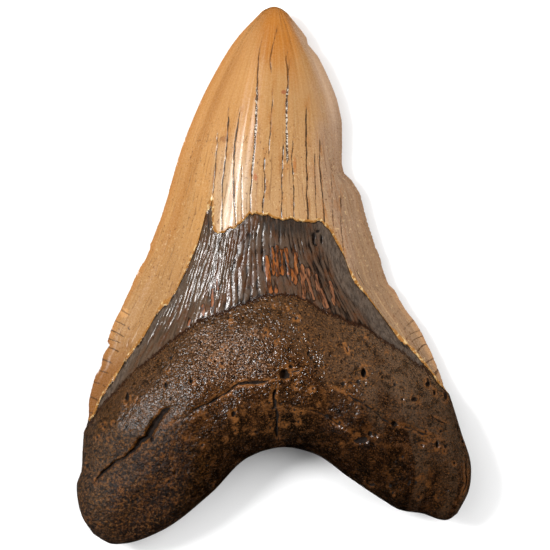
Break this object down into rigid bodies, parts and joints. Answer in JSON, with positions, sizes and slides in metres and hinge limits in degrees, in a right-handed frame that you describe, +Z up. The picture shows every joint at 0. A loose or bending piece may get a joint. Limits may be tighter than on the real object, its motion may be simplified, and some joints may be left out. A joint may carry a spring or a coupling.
{
  "type": "fossil megalodon tooth",
  "caption": "Large triangular fossil shark tooth with a domed enamel crown, finely serrated cutting edges, a dark bourlette and a two-lobed root, lying on its flatter face.",
  "frame": {"origin": "middle of the lying tooth's footprint, on the surface that it lies on", "axes": "+Z up from that surface through the domed lingual face, +Y towards the tip, +X to the right as seen from above"},
  "size_m": [0.1026, 0.1401, 0.0265],
  "materials": {
    "fossil_tooth": "polished tan enamel with hairline cracks over the crown, a glossy dark brown ridged band below it, and a grainy satin brown root"
  },
  "bodies": {
    "root": {"tooth": "fossil_tooth"}
  },
  "joints": []
}
